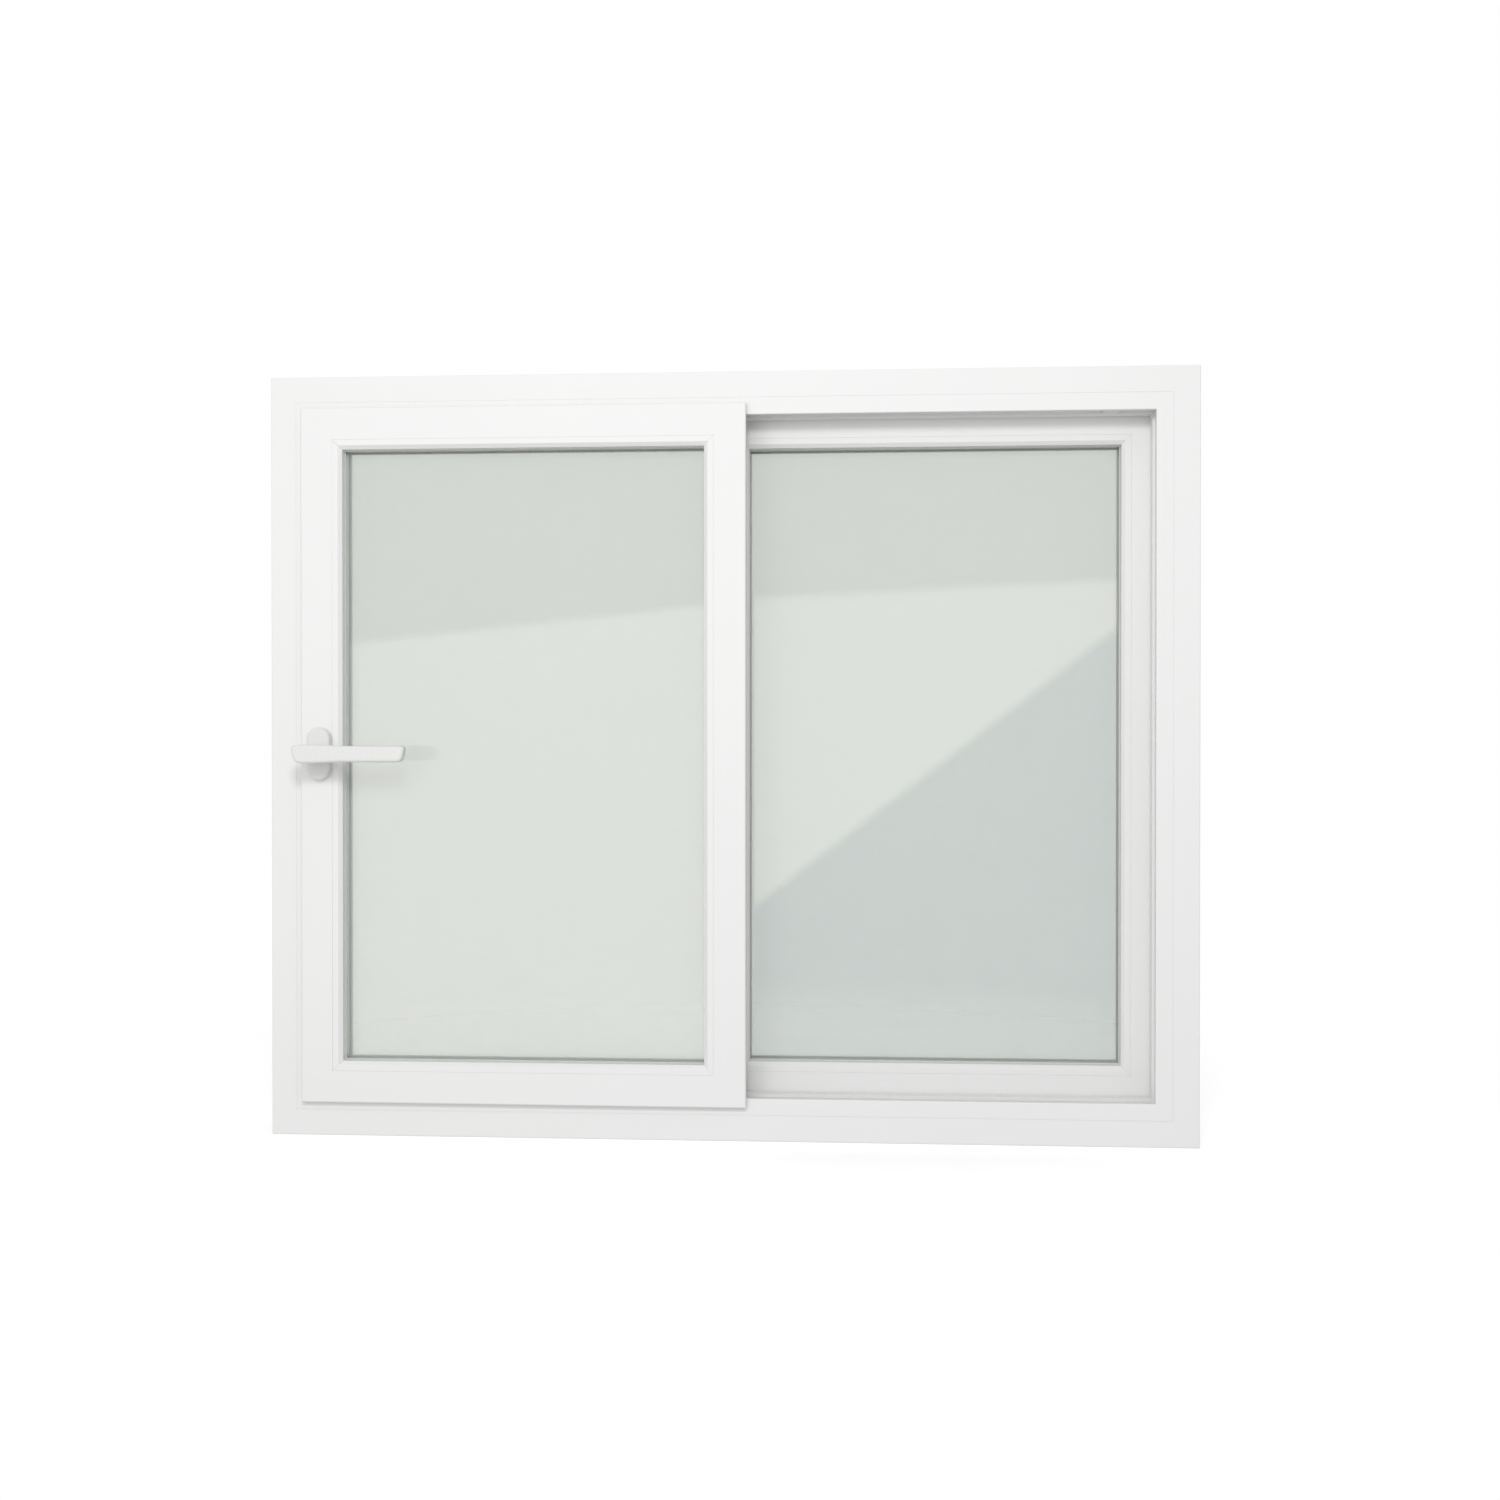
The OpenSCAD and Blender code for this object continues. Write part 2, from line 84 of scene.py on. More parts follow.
class Finish:
    """A material built from nodes around one Principled shader."""

    def __init__(self, name, **constants):
        self.material = bpy.data.materials.new(name)
        self.material.use_nodes = True
        self.tree = self.material.node_tree
        self.shader = self.tree.nodes["Principled BSDF"]
        for socket, value in constants.items():
            self.shader.inputs[socket.replace("_", " ")].default_value = value

    def node(self, kind, settings=None, sockets=None, output=0):
        made = self.tree.nodes.new("ShaderNode" + kind)
        for key, value in (settings or {}).items():
            setattr(made, key, value)
        for key, value in (sockets or {}).items():
            if isinstance(value, Value):
                self.tree.links.new(value.socket, made.inputs[key])
            else:
                made.inputs[key].default_value = value
        return Value(self.tree, made.outputs[output])

    def place(self, stretch=(1, 1, 1)):
        """The piece's own coordinates in metres, stretched along each axis."""
        own = self.node("TexCoord", output="Object")
        return self.node("Mapping", sockets={"Vector": own, "Scale": stretch})

    def noise(self, vector, scale, detail=2.0, roughness=0.5):
        sockets = {"Vector": vector, "Scale": scale, "Detail": detail, "Roughness": roughness}
        return self.node("TexNoise", {"noise_dimensions": "3D"}, sockets)

    def between(self, factor, low, high):
        """A colour between two colours."""
        # A Mix node keeps its colour sockets at 6 and 7, and its colour result at 2.
        return self.node("Mix", {"data_type": "RGBA"}, {0: factor, 6: (*low, 1), 7: (*high, 1)}, 2)

    def bump(self, height, depth, strength=1.0):
        """A normal from a height of 0 to 1 that stands for a depth in metres."""
        return self.node("Bump", sockets={"Height": height, "Distance": depth, "Strength": strength})

    def use(self, **links):
        for socket, value in links.items():
            self.tree.links.new(value.socket, self.shader.inputs[socket.replace("_", " ")])
        return self.material


def profile_plastic(name, stretch):
    """White rigid plastic with faint die lines, a fine skin and soft clouding."""
    finish = Finish(name, IOR=1.5)
    lines = finish.noise(finish.place(stretch), scale=1.0, detail=3.0, roughness=0.6)
    skin = finish.noise(finish.place(), scale=900.0)
    cloud = finish.noise(finish.place(), scale=3.2, detail=3.0)
    return finish.use(
        Base_Color=finish.between(cloud * 0.7 + lines * 0.3, PLASTIC_LOW, PLASTIC_HIGH),
        Roughness=0.28 + 0.10 * cloud + 0.08 * lines,
        Normal=finish.bump(lines * 0.6 + skin * 0.4, depth=0.00004, strength=0.35),
    )


PLASTIC_LOW, PLASTIC_HIGH = (0.76, 0.765, 0.755), (0.80, 0.805, 0.795)
# How often a die line changes in a metre along a bar and across it.
ALONG, ACROSS = 4, 420
lying_plastic = profile_plastic("lying_profile_plastic", (ALONG, ACROSS, ACROSS))
upright_plastic = profile_plastic("upright_profile_plastic", (ACROSS, ACROSS, ALONG))


def take_alone(piece):
    bpy.ops.object.select_all(action="DESELECT")
    piece.select_set(True)
    bpy.context.view_layer.objects.active = piece


def merged_copy(node, name):
    """A copy of a CAD node with its loose triangles merged into flat faces."""
    piece = bpy.data.objects.new(name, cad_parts[node].data.copy())
    bpy.context.collection.objects.link(piece)
    take_alone(piece)
    bpy.ops.object.mode_set(mode="EDIT")
    bpy.ops.mesh.select_all(action="SELECT")
    bpy.ops.mesh.remove_doubles(threshold=0.000002)
    bpy.ops.mesh.dissolve_limited(angle_limit=0.01)
    bpy.ops.object.mode_set(mode="OBJECT")
    return piece


def pick(piece, kind, wanted):
    """In edit mode, selects the vertices, edges or faces that wanted(part) is true for."""
    bpy.ops.mesh.select_mode(type=kind)
    bpy.ops.mesh.select_all(action="DESELECT")
    mesh = bmesh.from_edit_mesh(piece.data)
    mesh.normal_update()
    for part in {"VERT": mesh.verts, "EDGE": mesh.edges, "FACE": mesh.faces}[kind]:
        part.select_set(wanted(part))
    mesh.select_flush_mode()
    bmesh.update_edit_mesh(piece.data)


def bevel_where(piece, radius, steps, wanted):
    """Rounds the edges that wanted(edge) picks."""
    take_alone(piece)
    bpy.ops.object.mode_set(mode="EDIT")
    pick(piece, "EDGE", lambda edge: len(edge.link_faces) == 2 and wanted(edge))
    bpy.ops.mesh.bevel(offset=radius, segments=steps, affect="EDGES", clamp_overlap=True)
    bpy.ops.object.mode_set(mode="OBJECT")


def narrowest(edge):
    """The width of the narrower of the two faces at an edge."""
    return min(face.calc_area() for face in edge.link_faces) / edge.calc_length()


def sharp(edge, least=0.6):
    return edge.is_convex and edge.calc_face_angle(0) > least


def runs_along(edge, axis):
    way = edge.verts[1].co - edge.verts[0].co
    return way.length > 0.03 and abs(way.normalized()[axis]) > 0.999


def on_mitre(edge):
    """True at the rim of a 45 degree saw cut."""
    slope, near = 0.7071, 0.01
    cuts = [abs(f.normal.y) < near and abs(abs(f.normal.x) - slope) < near for f in edge.link_faces]
    return cuts[0] != cuts[1]


def smooth(piece, angle=0.6):
    take_alone(piece)
    bpy.ops.object.shade_smooth_by_angle(angle=angle)
    bpy.ops.object.modifier_add(type="WEIGHTED_NORMAL")
    piece.modifiers[-1].keep_sharp = True
    bpy.ops.object.modifier_apply(modifier=piece.modifiers[-1].name)


def finish_piece(piece, material, body, slot, *nodes):
    """Gives a shaped piece its material and its body, and hides the CAD nodes it stands for. The slot is not
    used.
    """
    piece.data.materials.clear()
    piece.data.materials.append(material)
    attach(piece, body)
    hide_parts(*nodes)


# Lips narrower than this are left square, and a weld leaves a groove this wide.
NARROW_LIP, WELD_GROOVE = 0.0011, 0.00025


def welded_bar(node, name, body, radius):
    """One bar of profile: long edges rounded, and the weld groove at each end."""
    lies = node.endswith(("head", "sill", "rail"))
    axis = 0 if lies else 2
    bar = merged_copy(node, name)
    bevel_where(bar, radius, 3, lambda e: runs_along(e, axis) and sharp(e) and narrowest(e) > NARROW_LIP)
    bevel_where(bar, WELD_GROOVE, 1, on_mitre)
    smooth(bar)
    finish_piece(bar, lying_plastic if lies else upright_plastic, body, "white_profile", node)


for side in ("head", "sill", "left_jamb", "right_jamb"):
    welded_bar("frame_" + side, "outer_" + side + "_bar", "frame", 0.0008)

# --- Reinforcement bars ----------------------------------------------------
# Square tubes of zinc-plated steel slid into the hollow of every bar before
# it is welded. They stop short of the corners.


def drawn_metal(name, colour, roughness, stretch=(260, 260, 260)):
    """Bare or plated metal: faint drawing lines and clouded plating."""
    finish = Finish(name, Metallic=1.0)
    lines = finish.noise(finish.place(stretch), scale=1.0, detail=3.0, roughness=0.6)
    cloud = finish.noise(finish.place(), scale=45.0, detail=3.0)
    darker = tuple(0.84 * part for part in colour)
    return finish.use(
        Base_Color=finish.between(cloud * 0.6 + lines * 0.4, darker, colour),
        Roughness=roughness - 0.08 + 0.16 * lines,
        Normal=finish.bump(lines * 0.7 + cloud * 0.3, depth=0.00002, strength=0.5),
    )


def softened(node, name, radius, material, body, slot):
    """A copy of a CAD piece with its corners broken as the maker breaks them."""
    piece = merged_copy(node, name)
    bevel_where(piece, radius, 2, lambda e: sharp(e) and narrowest(e) > 2.2 * radius)
    smooth(piece)
    finish_piece(piece, material, body, slot, node)
    return piece


zinc_plate = drawn_metal("zinc_plated_steel", (0.62, 0.63, 0.65), 0.34)
for node, body in (("frame_steel_bars", "frame"), ("fixed_steel_bars", "frame"), ("sash_steel_bars", "sash")):
    softened(node, node.replace("steel_bars", "reinforcement"), 0.0005, zinc_plate, body, "zinc_steel")

# --- Fittings in the frame's groove ----------------------------------------
# An extruded aluminium rail carries the rollers. Two pressed keepers in the
# left jamb take the cams, and a nylon buffer in the head stops the light.

mill_aluminium = drawn_metal("mill_finish_aluminium", (0.80, 0.81, 0.82), 0.30, (6, 500, 500))
softened("running_rail", "roller_rail", 0.0004, mill_aluminium, "frame", "bare_aluminium")
softened("strikers", "cam_keepers", 0.0005, zinc_plate, "frame", "zinc_steel")


def moulded_nylon(name, low, high):
    """Moulded nylon: an even dull skin with a fine speckle."""
    finish = Finish(name, IOR=1.53)
    speckle = finish.noise(finish.place(), scale=1400.0)
    cloud = finish.noise(finish.place(), scale=60.0)
    return finish.use(
        Base_Color=finish.between(cloud * 0.5 + speckle * 0.5, low, high),
        Roughness=0.46 + 0.16 * speckle,
        Normal=finish.bump(speckle, depth=0.00003, strength=0.4),
    )


pale_nylon = moulded_nylon("pale_nylon", (0.70, 0.70, 0.67), (0.77, 0.77, 0.74))
softened("travel_stop", "travel_buffer", 0.0012, pale_nylon, "frame", "wheel_nylon")

# --- Fixed light and sliding light -----------------------------------------
# Both lights are welded from one narrower profile. The fixed one stands in
# the frame's rear pocket, the sliding one in front of the frame's face.

for side in ("top_rail", "bottom_rail", "meeting_stile", "jamb_stile"):
    welded_bar("fixed_" + side, "fixed_light_" + side, "frame", 0.0005)
for side in ("top_rail", "bottom_rail", "meeting_stile", "lock_stile"):
    welded_bar("sash_" + side, "sliding_light_" + side, "sash", 0.0005)

# --- Clipped profiles ------------------------------------------------------
# Glazing beads hold the glass from the room side, hooks close the gap where
# the lights meet, and covers and trims close the frame's rear pocket. They
# are the same plastic, sawn to length and clipped in.

clipped_plastic = profile_plastic("clipped_profile_plastic", (70, 70, 70))


def clipped_profiles(node, name, body):
    bars = merged_copy(node, name)
    long_edge, radius = 0.1, 0.0005
    bevel_where(
        bars, radius, 3,
        lambda e: e.calc_length() > long_edge and sharp(e) and narrowest(e) > NARROW_LIP,
    )
    smooth(bars)
    finish_piece(bars, clipped_plastic, body, "white_profile", node)


clipped_profiles("fixed_beads", "fixed_glazing_beads", "frame")
clipped_profiles("sash_beads", "sliding_glazing_beads", "sash")
clipped_profiles("rear_covers", "rear_cover_profiles", "frame")
clipped_profiles("rear_trims", "rear_trim_profiles", "frame")
clipped_profiles("fixed_interlock", "fixed_interlock_hook", "frame")
clipped_profiles("sash_interlock", "sliding_interlock_hook", "sash")

# --- Glass units -----------------------------------------------------------
# Each light holds two panes of 4 mm float glass, faintly green, with ground
# edges, either side of an aluminium spacer. The unit stands on nylon blocks.


def float_glass():
    """Clear glass with a faint film, which lets light through to what is behind it."""
    finish = Finish("clear_float_glass", IOR=GLASS_INDEX, Transmission_Weight=GLASS_CLEAR, Roughness=0.0)
    finish.shader.inputs["Base Color"].default_value = (*GLASS_TINT, 1)
    through = finish.node("BsdfTransparent", sockets={"Color": (*GLASS_TINT, 1)})
    shadow = finish.node("LightPath", output="Is Shadow Ray")
    solid = Value(finish.tree, finish.shader.outputs["BSDF"])
    mixed = finish.node("MixShader", sockets={0: shadow, 1: solid, 2: through})
    surface = finish.tree.nodes["Material Output"].inputs["Surface"]
    finish.tree.links.new(mixed.socket, surface)
    return finish.material


GLASS_TINT, GLASS_CLEAR, GLASS_INDEX = (0.86, 0.875, 0.85), 0.88, 1.7
glass = float_glass()
dark_nylon = moulded_nylon("dark_nylon", (0.055, 0.055, 0.06), (0.085, 0.085, 0.09))
for light, body in (("fixed", "frame"), ("sash", "sash")):
    name = light.replace("sash", "sliding")
    for side in ("inner", "outer"):
        softened(f"{light}_{side}_pane", f"{name}_{side}_glass", 0.0005, glass, body, "clear_glass")
    softened(light + "_spacer", name + "_glass_spacer", 0.0006, mill_aluminium, body, "bare_aluminium")
    softened(light + "_setting_blocks", name + "_glass_blocks", 0.0005, dark_nylon, body, "dark_nylon")
softened("fixed_light_packers", "fixed_light_packing", 0.0008, dark_nylon, "frame", "dark_nylon")

# --- Gaskets and weather seals ---------------------------------------------
# Extruded grey rubber pushed into grooves: one each side of the glass, one
# behind the sliding light's flange and one in front of the fixed light.


def seal_rubber():
    """Matt rubber with a slight bloom."""
    finish = Finish("grey_seal_rubber", IOR=1.5)
    bloom = finish.noise(finish.place(), scale=300.0, detail=3.0)
    return finish.use(
        Base_Color=finish.between(bloom, (0.58, 0.59, 0.58), (0.66, 0.67, 0.66)),
        Roughness=0.58 + 0.2 * bloom,
        Normal=finish.bump(bloom, depth=0.00004, strength=0.4),
    )


rubber = seal_rubber()
for light, body in (("fixed", "frame"), ("sash", "sash")):
    for side in ("front", "rear"):
        node = f"{light}_{side}_gasket"
        softened(node, node.replace("sash", "sliding"), 0.0007, rubber, body, "grey_rubber")
softened("sash_seal", "sliding_flange_seal", 0.0005, rubber, "sash", "grey_rubber")
softened("fixed_light_seal", "fixed_light_seal_strip", 0.0008, rubber, "frame", "grey_rubber")

# --- Running gear ----------------------------------------------------------
# Two nylon carriages under the sliding light hold two wheels each on steel
# axles. Two guide blocks on its top run in the head's groove.

softened("carriages", "roller_carriages", 0.0006, dark_nylon, "sash", "dark_nylon")
softened("wheel_axles", "roller_axles", 0.0004, zinc_plate, "sash", "zinc_steel")
softened("top_guides", "head_guides", 0.001, dark_nylon, "sash", "dark_nylon")
# Each wheel's two flat sides are sunk a little inside a rim.
WHEEL_RIM, WHEEL_RECESS, WHEEL_SIDE = 0.0018, 0.0009, 0.00005
for number in range(1, 5):
    node = f"wheel_{number}"
    wheel = softened(node, f"roller_{number}", 0.0004, pale_nylon, node, "wheel_nylon")
    take_alone(wheel)
    bpy.ops.object.mode_set(mode="EDIT")
    pick(wheel, "FACE", lambda face: abs(face.normal.y) > 0.999 and face.calc_area() > WHEEL_SIDE)
    bpy.ops.mesh.inset(thickness=WHEEL_RIM, depth=-WHEEL_RECESS)
    bpy.ops.object.mode_set(mode="OBJECT")
    smooth(wheel)

# --- Lock ------------------------------------------------------------------
# The edge lock sits in the lock stile's groove: a plated faceplate held by
# four countersunk screws, a zinc gearbox, and a flat rod with two cams that
# the lever drives through a square spindle.

zinc_alloy = drawn_metal("cast_zinc_alloy", (0.56, 0.57, 0.58), 0.42)
softened("lock_faceplate", "lock_face_strip", 0.0004, zinc_plate, "sash", "zinc_steel")
softened("gearbox", "lock_gearbox", 0.0008, zinc_alloy, "sash", "lock_metal")
softened("drive_rod", "lock_rod", 0.0003, zinc_alloy, "drive_rod", "lock_metal")
softened("locking_cams", "lock_cams", 0.0008, zinc_plate, "drive_rod", "zinc_steel")
softened("spindle", "handle_spindle", 0.0004, zinc_plate, "handle", "zinc_steel")


def solid_boxes(piece):
    """The lowest and highest corner of each separate solid, from the lowest up."""
    mesh = bmesh.new()
    mesh.from_mesh(piece.data)
    left, boxes = set(mesh.verts), []
    while left:
        found = [left.pop()]
        for vertex in found:
            near = {edge.other_vert(vertex) for edge in vertex.link_edges} & left
            left -= near
            found.extend(near)
        places = [vertex.co for vertex in found]
        low = Vector([min(place[axis] for place in places) for axis in range(3)])
        high = Vector([max(place[axis] for place in places) for axis in range(3)])
        boxes.append((low, high))
    mesh.free()
    return sorted(boxes, key=lambda box: box[0].z)


def cut_away(piece, cutter, operation="DIFFERENCE"):
    """Cuts the cutter out of a piece, or joins it on, and removes the cutter."""
    take_alone(piece)
    bpy.ops.object.modifier_add(type="BOOLEAN")
    change = piece.modifiers[-1]
    change.operation, change.solver, change.object = operation, "EXACT", cutter
    bpy.ops.object.modifier_apply(modifier=change.name)
    bpy.data.objects.remove(cutter)


def crossed_screws(node, name, head_axis):
    """Screws whose heads, at the low end of head_axis, have a cross recess."""
    screws = softened(node, name, 0.0003, zinc_alloy, "sash", "lock_metal")
    for across in {0, 1, 2} - {head_axis}:
        for low, high in solid_boxes(screws):
            slot_size = Vector((SLOT_WIDE, SLOT_WIDE, SLOT_WIDE))
            slot_size[across] = SLOT_LONG
            slot_size[head_axis] = 2 * SLOT_DEEP
            centre = (low + high) / 2
            centre[head_axis] = low[head_axis]
            bpy.ops.object.select_all(action="DESELECT")
            bpy.ops.mesh.primitive_cube_add(size=1, location=centre, scale=slot_size)
            cut_away(screws, bpy.context.object)
    smooth(screws)


SLOT_WIDE, SLOT_LONG, SLOT_DEEP = 0.0009, 0.0038, 0.0012
crossed_screws("faceplate_screws", "lock_strip_screws", 0)

# --- Lever handle ----------------------------------------------------------
# A hollow die-cast lever, painted white, on a long oval rose. The rose is a
# cast plate screwed to the stile, with a painted cover snapped over it.


def handle_paint():
    """Thick gloss paint with a faint orange-peel surface."""
    finish = Finish("white_handle_paint", IOR=1.5)
    peel = finish.noise(finish.place(), scale=420.0)
    cloud = finish.noise(finish.place(), scale=30.0)
    return finish.use(
        Base_Color=finish.between(cloud, (0.69, 0.695, 0.685), (0.72, 0.725, 0.715)),
        Roughness=0.22 + 0.10 * peel,
        Normal=finish.bump(peel, depth=0.00003, strength=0.4),
    )


paint = handle_paint()
softened("rose_base", "rose_plate", 0.0005, zinc_alloy, "sash", "lock_metal")
crossed_screws("handle_screws", "rose_screws", 1)

spindle_low, spindle_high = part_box("spindle")
AXIS = (Vector(spindle_low) + Vector(spindle_high)) / 2
lever_low, lever_high = map(Vector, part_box("handle_lever"))
cover_low, cover_high = map(Vector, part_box("rose_cover"))


def round_ended(radius, reach, front, back):
    """A block along Z with round ends, between two depths, centred on the spindle."""
    points = 64
    bpy.ops.object.select_all(action="DESELECT")
    bpy.ops.mesh.primitive_cylinder_add(
        vertices=points, radius=radius, depth=back - front,
        location=(AXIS.x, (front + back) / 2, AXIS.z), rotation=(math.pi / 2, math.pi / points, 0),
    )
    block = bpy.context.object
    bpy.ops.object.transform_apply(location=True, rotation=True, scale=True)
    bpy.ops.object.mode_set(mode="EDIT")
    for way in (-1, 1):
        pick(block, "VERT", lambda vertex: (vertex.co.z - AXIS.z) * way > 0)
        bpy.ops.transform.translate(value=(0, 0, way * reach))
    bpy.ops.object.mode_set(mode="OBJECT")
    return block


ROSE_WALL, ROSE_ROUND, NECK_HOLE, NEAR = 0.002, 0.0042, 0.0094, 0.0001
rose_radius = (cover_high.x - cover_low.x) / 2
rose_reach = (cover_high.z - cover_low.z) / 2 - rose_radius
cover = round_ended(rose_radius, rose_reach, cover_low.y, cover_high.y)
cover.name = "rose_cover_cap"
bevel_where(
    cover, ROSE_ROUND, 6,
    lambda e: sharp(e) and max(v.co.y for v in e.verts) < cover_low.y + NEAR,
)
inside = round_ended(rose_radius - ROSE_WALL, rose_reach, cover_low.y + ROSE_WALL, cover_high.y + ROSE_WALL)
cut_away(cover, inside)
cut_away(cover, round_ended(NECK_HOLE, 0, cover_low.y - ROSE_WALL, cover_high.y))
smooth(cover)
finish_piece(cover, paint, "sash", "white_handle", "rose_cover")

LEVER_THICK, LEVER_TALL, LEVER_SLANT = 0.014, 0.021, 0.005
CORNER_ROUND, FRONT_ROUND, BACK_ROUND = 0.006, 0.0065, 0.002
slab_back = lever_low.y + LEVER_THICK
bpy.ops.object.select_all(action="DESELECT")
bpy.ops.mesh.primitive_cube_add(
    size=1,
    location=((lever_low.x + lever_high.x) / 2, lever_low.y + LEVER_THICK / 2, AXIS.z),
    scale=(lever_high.x - lever_low.x, LEVER_THICK, LEVER_TALL),
)
lever = bpy.context.object
lever.name = "lever_arm"
bpy.ops.object.transform_apply(location=True, rotation=True, scale=True)
bpy.ops.object.mode_set(mode="EDIT")
for end, slide in ((lever_low.x, LEVER_SLANT), (lever_high.x, -LEVER_SLANT)):
    pick(lever, "VERT", lambda vertex: abs(vertex.co.x - end) < NEAR and vertex.co.z < AXIS.z)
    bpy.ops.transform.translate(value=(slide, 0, 0))
# The arm is taller over the spindle and thins out along its first third.
HUB_TALL, HUB_HALF, HUB_FADE = 0.024, 0.009, 0.042
for place in (-HUB_HALF, HUB_HALF, HUB_FADE):
    bpy.ops.mesh.select_all(action="SELECT")
    bpy.ops.mesh.bisect(plane_co=(AXIS.x + place, 0, 0), plane_no=(1, 0, 0))
pick(lever, "VERT", lambda vertex: abs(vertex.co.x - AXIS.x) < HUB_HALF + NEAR)
bpy.ops.transform.resize(value=(1, 1, HUB_TALL / LEVER_TALL), center_override=AXIS)
bpy.ops.object.mode_set(mode="OBJECT")
# First the corners of its outline, then the rims of its front and its back.
front, rim_angle, through = lever_low.y, 1.0, 0.01
bevel_where(
    lever, CORNER_ROUND, 8,
    lambda e: sharp(e, rim_angle) and abs(e.verts[0].co.y - e.verts[1].co.y) > through,
)
bevel_where(
    lever, FRONT_ROUND, 8,
    lambda e: sharp(e, rim_angle) and max(v.co.y for v in e.verts) < front + NEAR,
)
bevel_where(
    lever, BACK_ROUND, 4,
    lambda e: sharp(e, rim_angle) and min(v.co.y for v in e.verts) > slab_back - NEAR,
)

# The round neck widens in a short fillet where it meets the arm. Each pair is
# a distance behind the arm's back and the neck's width there.
NECK_RADIUS, NECK_SIDES = 0.009, 64
FILLET = ((0.005, 1.0), (0.003, 1.02), (0.0015, 1.06), (0.0005, 1.12), (-0.001, 1.12))
bpy.ops.object.select_all(action="DESELECT")
bpy.ops.mesh.primitive_circle_add(
    vertices=NECK_SIDES, radius=NECK_RADIUS, fill_type="NGON",
    location=(AXIS.x, lever_high.y, AXIS.z), rotation=(math.pi / 2, 0, 0),
)
neck = bpy.context.object
bpy.ops.object.transform_apply(location=True, rotation=True, scale=True)
bpy.ops.object.mode_set(mode="EDIT")
bpy.ops.mesh.select_all(action="SELECT")
reached, widened = lever_high.y, 1.0
for clear, width in FILLET:
    step = slab_back + clear - reached
    bpy.ops.mesh.extrude_region_move(TRANSFORM_OT_translate={"value": (0, step, 0)})
    bpy.ops.transform.resize(value=(width / widened, 1, width / widened), center_override=AXIS)
    reached, widened = reached + step, width
bpy.ops.mesh.select_all(action="SELECT")
bpy.ops.mesh.normals_make_consistent(inside=False)
bpy.ops.object.mode_set(mode="OBJECT")
cut_away(lever, neck, "UNION")
smooth(lever, 0.7)
finish_piece(lever, paint, "handle", "white_handle", "handle_lever")
# The glass shows no mirror image of the lever.
lever.visible_glossy = False

# --- Studio ----------------------------------------------------------------
# A pale floor that fades into the white surround, two soft lamps on the room
# side and one behind, and grey boards for the glass to reflect.

bpy.ops.object.select_all(action="DESELECT")
FLOOR_WIDTH, FLOOR_FULL, FLOOR_GONE = 8, 0.3, 1.4
bpy.ops.mesh.primitive_plane_add(size=FLOOR_WIDTH, location=(0, 0, 0))
floor = bpy.context.object
floor.name = "studio_floor"
floor_finish = Finish("pale_floor", Roughness=0.9, Specular_IOR_Level=0.0, Emission_Strength=0.25)
floor_finish.shader.inputs["Emission Color"].default_value = (1, 1, 1, 1)
reach = floor_finish.node("VectorMath", {"operation": "LENGTH"}, {0: floor_finish.place()}, "Value")
fade = (FLOOR_GONE - reach) * (1 / (FLOOR_GONE - FLOOR_FULL))
floor_cloud = floor_finish.noise(floor_finish.place(), 2.0)
floor.data.materials.append(floor_finish.use(
    Base_Color=floor_finish.between(floor_cloud, (0.93, 0.93, 0.93), (0.95, 0.95, 0.95)),
    Alpha=fade,
))
floor_finish.material.cycles.emission_sampling = "NONE"
floor.visible_glossy = floor.visible_diffuse = False

# The surround is white to the eye and in the glass, and lights the object less.
SURROUND_LIGHT = 0.62
scene = bpy.context.scene
scene.view_settings.view_transform = "Standard"
scene.view_settings.look = "None"
world = bpy.data.worlds.new("studio_air")
scene.world = world
world.use_nodes = True
surround = world.node_tree.nodes["Background"]
surround.inputs["Color"].default_value = (1, 1, 1, 1)
ray_kind = world.node_tree.nodes.new("ShaderNodeLightPath")
diffuse_ray = Value(world.node_tree, ray_kind.outputs["Is Diffuse Ray"])
strength = 1 - (1 - SURROUND_LIGHT) * diffuse_ray
world.node_tree.links.new(strength.socket, surround.inputs["Strength"])

BOARD_DEPTH, LOW_BOARD_DEPTH, BOARD_TALL, BOARD_BLUR = -3.2, -3.25, 2.5, 0.035


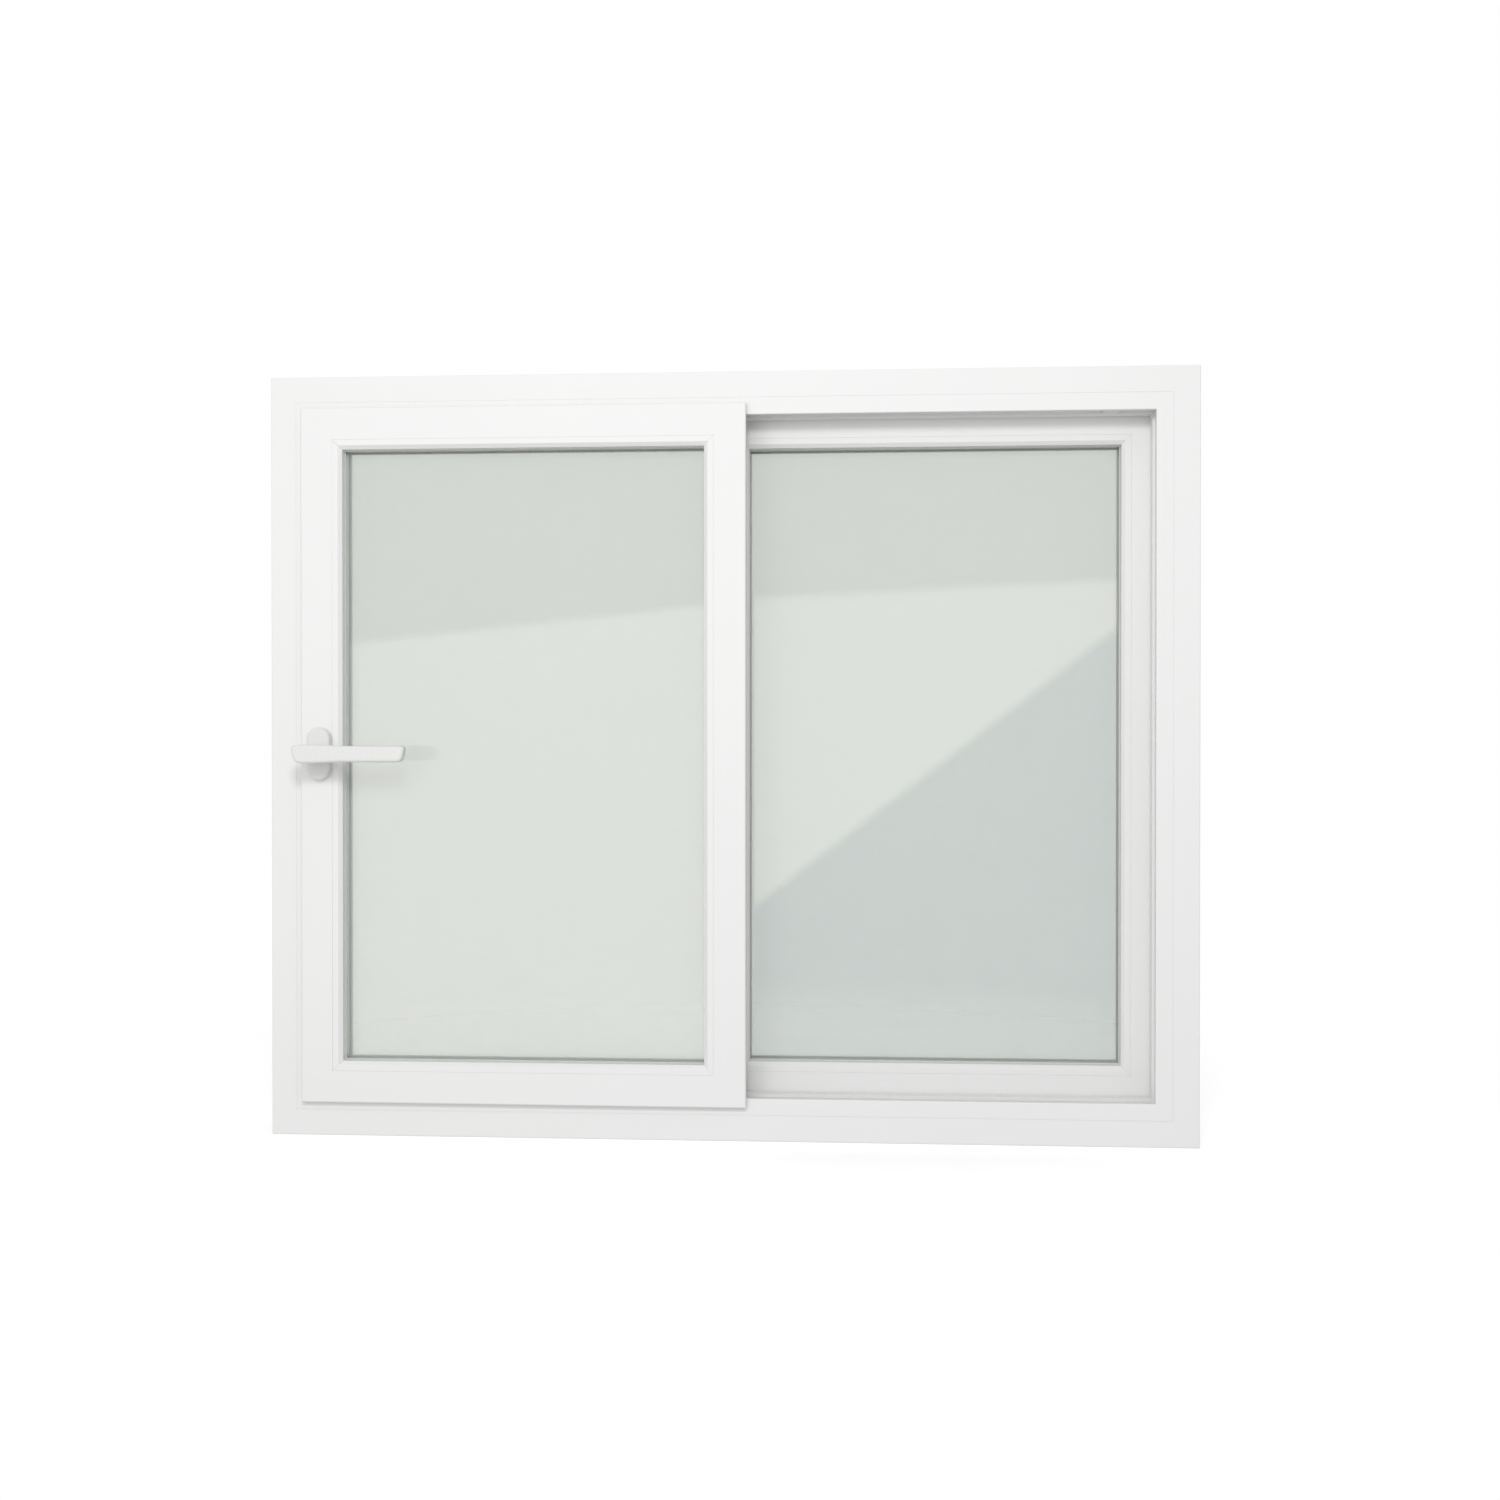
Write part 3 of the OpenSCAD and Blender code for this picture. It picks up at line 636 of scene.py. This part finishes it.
def reflected_board(name, left, right, up, depth, shade):
    """A board seen only in the glass, above or below the line from left to right."""
    bpy.ops.object.select_all(action="DESELECT")
    bpy.ops.mesh.primitive_plane_add(size=1, location=(0, 0, 0))
    board = bpy.context.object
    board.name = name
    far = BOARD_TALL * up
    corners = ((left.x, left.y), (right.x, right.y), (left.x, left.y + far), (right.x, right.y + far))
    for vertex, (x, z) in zip(board.data.vertices, corners):
        vertex.co = (x, depth, z)
    edge = (right - left).normalized()
    square = Vector((-edge.y, 0, edge.x)) * up
    finish = Finish(name + "_grey", Roughness=1.0, Emission_Strength=1.0, Specular_IOR_Level=0.0)
    finish.shader.inputs["Base Color"].default_value = (0, 0, 0, 1)
    sockets = {0: finish.place(), 1: square}
    across = finish.node("VectorMath", {"operation": "DOT_PRODUCT"}, sockets, "Value")
    start = square.dot(Vector((left.x, 0, left.y)))
    soft = (across - start) * (1 / BOARD_BLUR)
    finish.material.cycles.emission_sampling = "NONE"
    reflections = finish.node("LightPath", output="Glossy Depth")
    board.data.materials.append(finish.use(
        Emission_Color=finish.between(soft, (1, 1, 1), shade),
        Alpha=reflections.maths("MINIMUM", reflections, 1.0),
    ))
    board.visible_camera = board.visible_diffuse = board.visible_shadow = False


GREY_BOARD, DARK_BOARD = (0.42, 0.46, 0.48), (0.14, 0.26, 0.36)
MEETING, UPWARD, DOWNWARD = -0.25, 1, -1
for name, left, right, up, depth, shade in (
    ("left_board", (-2.2, 0.73), (MEETING, 0.93), UPWARD, BOARD_DEPTH, GREY_BOARD),
    ("right_board", (MEETING, 0.95), (1.6, 1.035), UPWARD, BOARD_DEPTH, GREY_BOARD),
    ("low_board", (MEETING, -0.05), (1.1, 0.99), DOWNWARD, LOW_BOARD_DEPTH, DARK_BOARD),
):
    reflected_board(name, Vector(left), Vector(right), up, depth, shade)


def softbox(name, place, size, power):
    """A square soft lamp turned to the middle of the window."""
    lamp = bpy.data.lights.new(name, "AREA")
    lamp.size, lamp.energy = size, power
    holder = bpy.data.objects.new(name, lamp)
    scene.collection.objects.link(holder)
    holder.location = place
    holder.rotation_euler = (LAMP_AIM - Vector(place)).to_track_quat("-Z", "Y").to_euler()
    holder.visible_glossy = holder.visible_transmission = False


LAMP_AIM = Vector((0, 0, 0.6))
softbox("key_softbox", (0.15, -2.3, 1.5), 0.4, 19)
softbox("fill_softbox", (-0.7, -3.0, 1.0), 1.6, 24)
softbox("rear_softbox", (0.6, 3.0, 1.2), 1.6, 24)

CAMERA_PLACE, CAMERA_YAW, CAMERA_PITCH = (0.1798, -2.2915, 0.5244), 0.0674, 0.0069
CAMERA_LENS, CAMERA_SENSOR = 41.37, 36.0
lens = bpy.data.cameras.new("room_side_camera")
lens.lens, lens.sensor_width = CAMERA_LENS, CAMERA_SENSOR
camera = bpy.data.objects.new("room_side_camera", lens)
scene.collection.objects.link(camera)
camera.location = CAMERA_PLACE
camera.rotation_euler = (math.pi / 2 - CAMERA_PITCH, 0, CAMERA_YAW)
scene.camera = camera
